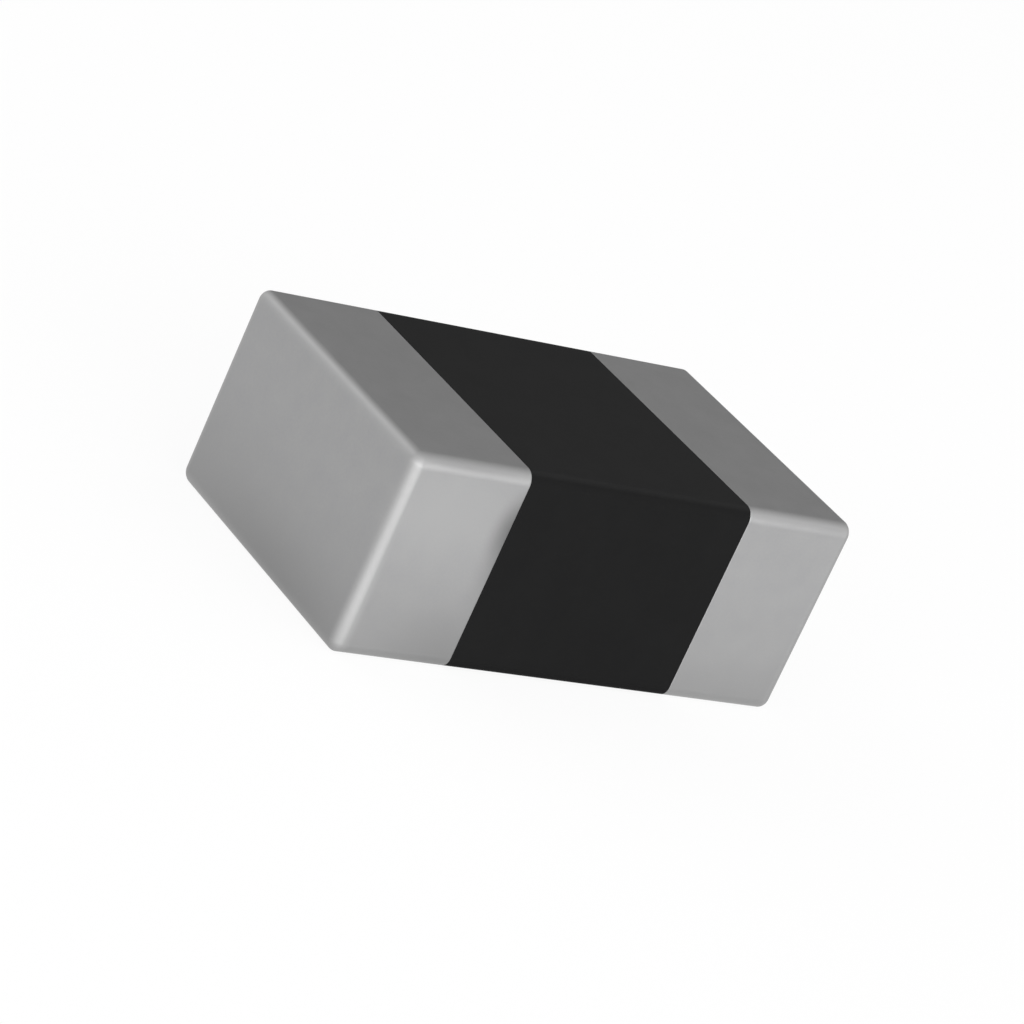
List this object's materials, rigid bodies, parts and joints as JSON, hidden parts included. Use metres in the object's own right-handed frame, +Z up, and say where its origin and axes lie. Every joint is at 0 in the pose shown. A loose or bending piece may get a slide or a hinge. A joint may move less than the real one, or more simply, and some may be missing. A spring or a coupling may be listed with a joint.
{
  "type": "smd chip resistor",
  "caption": "Surface-mount chip resistor: dark ceramic block in a black glass coat, with plated metal caps wrapped over both ends.",
  "frame": {"origin": "middle of the underside, where the chip stands on its board", "axes": "+X from the left cap to the right cap along the chip, +Y across its width, +Z up through its thickness"},
  "size_m": [0.002, 0.0012, 0.0008],
  "materials": {
    "matte_tin": "matte",
    "black_glass": "matte",
    "resistive_ceramic": "matte",
    "fired_silver": "matte",
    "plated_nickel": "satin",
    "electrode_film": "matte"
  },
  "bodies": {
    "root": {"ceramic_body": "resistive_ceramic", "glass_coat": "black_glass", "left_inner_electrode_1": "electrode_film", "left_inner_electrode_2": "electrode_film", "left_inner_electrode_3": "electrode_film", "right_inner_electrode_1": "electrode_film", "right_inner_electrode_2": "electrode_film", "right_inner_electrode_3": "electrode_film", "left_silver_base": "fired_silver", "right_silver_base": "fired_silver", "left_nickel_barrier": "plated_nickel", "right_nickel_barrier": "plated_nickel", "left_tin_plating": "matte_tin", "right_tin_plating": "matte_tin"}
  },
  "joints": []
}
